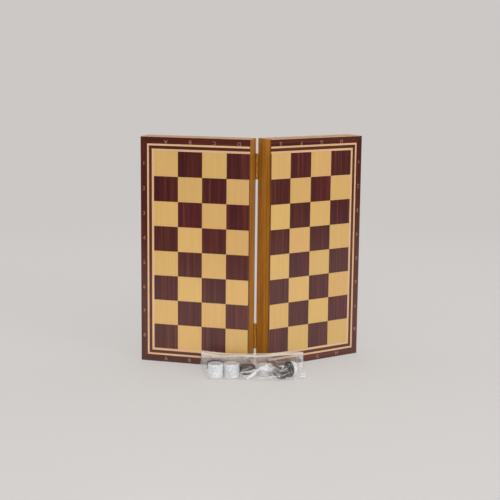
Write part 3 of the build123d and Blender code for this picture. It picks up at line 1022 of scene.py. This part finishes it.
studio = {
    "floor": {"colour": linear(221, 218, 216), "dim": (0.985, 0.985, 0.99), "patches": (1.3, 2.0),
              "stops": (0.3, 0.7), "finish": {"Roughness": 0.85, "Specular IOR Level": 0.1}},
    "near": linear(212, 209, 206),
    "far": linear(203, 200, 197),
    "farFade": (0.5, 1.4),  # distances from the middle over which near turns to far
    "nearShare": 0.5,  # how much the backdrop's colour covers the lit floor nearby
    "room": linear(48, 46, 44),
    "roomFade": (0.26, 0.68),  # distances to the front over which a gloss mirrors the room, not the floor
    "reach": 6.0,
    "flat": (-6.0, -1.0, 0.0, 1.1, 2.2),
    "bendRadius": 1.4,
    "bendSteps": 24,
    "wallTop": 4.2,
    "lampWhite": (1.0, 0.99, 0.98, 1),
    "world": 0.80,
    "ceiling": 4.0,
    "ceilingFade": (0.45, 0.75),
    "behindFade": (-0.4, 0.1),
    "aim": (0, 0, 0.14),
}

lamps = {
    "key": {"at": (1.35, -1.95, 0.75), "size": 0.9, "power": 11.0},
    "fill": {"at": (-0.45, -2.35, 0.75), "size": 0.9, "power": 12.2},
    "low": {"at": (-0.18, -0.74, 0.02), "size": 0.05, "power": 0.038, "spread": 40.0,
            "aim": (-0.10, 0.0, 0.03)},
}


def seenRays(n):
    # 1 for what the camera sees, straight or through the film, and 1 for what a gloss mirrors
    path = n.add("LightPath").outputs
    seen = n.math("ADD", path["Is Camera Ray"], path["Is Transmission Ray"])
    return n.math("MINIMUM", seen, 1.0), path["Is Glossy Ray"]


def sweepMaterial():
    n = newMaterial("paleSweep")
    place = n.place()
    paint = studio["floor"]
    floor = n.shader("BsdfPrincipled", {"Base Color": mottled(n, place, paint), **paint["finish"]})
    x, y, _ = n.split(place)
    away = n.math("SQRT", n.math("ADD", n.math("MULTIPLY", x, x), n.math("MULTIPLY", y, y)))
    far = n.fade(away, *studio["farFade"])
    seen, mirrored = seenRays(n)
    backdrop = n.shader("Emission", {"Color": n.mix(far, studio["near"], studio["far"]), "Strength": 1.0})
    share = n.scaled(far, 1 - studio["nearShare"], studio["nearShare"])
    shown = n.math("MULTIPLY", share, n.math("MINIMUM", n.math("ADD", seen, mirrored), 1.0))
    # the varnish mirrors the dark room beyond the table's front edge
    front = n.fade(n.math("MULTIPLY", y, -1.0), *studio["roomFade"])
    room = n.shader("Emission", {"Color": studio["room"], "Strength": 1.0})
    return n.done(n.over(n.math("MULTIPLY", front, mirrored), n.over(shown, floor, backdrop), room))


def sweep():
    # the floor, bent up behind into a wall
    vertices, faces = [], []
    start, radius, steps = studio["flat"][-1], studio["bendRadius"], studio["bendSteps"]
    profile = [(y, 0.0) for y in studio["flat"]]
    for k in range(1, steps + 1):
        t = math.pi / 2 * k / steps
        profile.append((start + radius * math.sin(t), radius * (1 - math.cos(t))))
    profile.append((start + radius, studio["wallTop"]))
    for y, z in profile:
        vertices += [(-studio["reach"], y, z), (studio["reach"], y, z)]
    for k in range(len(profile) - 1):
        faces.append((2 * k, 2 * k + 1, 2 * k + 3, 2 * k + 2))
    mesh = bpy.data.meshes.new("sweep")
    mesh.from_pydata(vertices, [], faces)
    mesh.polygons.foreach_set("use_smooth", [True] * len(mesh.polygons))
    obj = bpy.data.objects.new("sweep", mesh)
    bpy.context.scene.collection.objects.link(obj)
    mesh.materials.append(sweepMaterial())


def areaLamp(name, spec):
    light = bpy.data.lights.new(name, "AREA")
    light.shape = "DISK"
    light.size = spec["size"]
    light.energy = spec["power"]
    if "spread" in spec:
        light.spread = math.radians(spec["spread"])
    obj = bpy.data.objects.new(name, light)
    obj.location = spec["at"]
    obj.visible_camera = False
    toward = Vector(spec.get("aim", studio["aim"])) - obj.location
    obj.rotation_euler = toward.to_track_quat("-Z", "Y").to_euler()
    bpy.context.scene.collection.objects.link(obj)


def lightWorld():
    n = Nodes(bpy.data.worlds.new("studio"), "World")
    light = n.shader("Background", {"Color": studio["lampWhite"], "Strength": studio["world"]})
    shown = n.shader("Background", {"Color": studio["far"], "Strength": 1.0})
    room = n.shader("Background", {"Color": studio["room"], "Strength": 1.0})
    ceiling = n.shader("Background", {"Color": studio["lampWhite"], "Strength": studio["ceiling"]})
    seen, mirrored = seenRays(n)
    # glossy surfaces mirror the pale backdrop behind, a soft ceiling light over it and the dark room in front
    _, back, up = n.split(n.add("TexCoord").outputs["Generated"])
    high, behind = n.fade(up, *studio["ceilingFade"]), n.fade(back, *studio["behindFade"])
    around = n.over(n.math("MULTIPLY", high, behind), n.over(behind, room, shown), ceiling)
    bpy.context.scene.world = n.done(n.over(mirrored, n.over(seen, light, shown), around))


camera = {
    "at": (-0.2558, -1.4924, 0.4097),  # from the hinge axis
    "heading": 9.435,
    "pitch": 9.78,
    "roll": 0.60,
    "lens": 86.47,
    "sensor": 36.0,
    "clipStart": 0.05,
}


def placeCamera():
    data = bpy.data.cameras.new("camera")
    data.lens = camera["lens"]
    data.sensor_width = camera["sensor"]
    data.clip_start = camera["clipStart"]
    obj = bpy.data.objects.new("camera", data)
    heading, pitch, roll = (math.radians(camera[k]) for k in ("heading", "pitch", "roll"))
    level = Vector((math.sin(heading), math.cos(heading), 0))
    look = level * math.cos(pitch) - Vector((0, 0, math.sin(pitch)))
    right = Vector((math.cos(heading), -math.sin(heading), 0))
    tilted = right * math.cos(roll) + right.cross(look) * math.sin(roll)
    place = Matrix((tilted, tilted.cross(look), -look)).transposed().to_4x4()
    place.translation = hingeAt + Vector(camera["at"])
    obj.matrix_world = place
    bpy.context.scene.collection.objects.link(obj)
    bpy.context.scene.camera = obj


sweep()
for name, spec in lamps.items():
    areaLamp(name, spec)
lightWorld()
placeCamera()
bpy.context.scene.view_settings.view_transform = "Standard"
print("studio done")
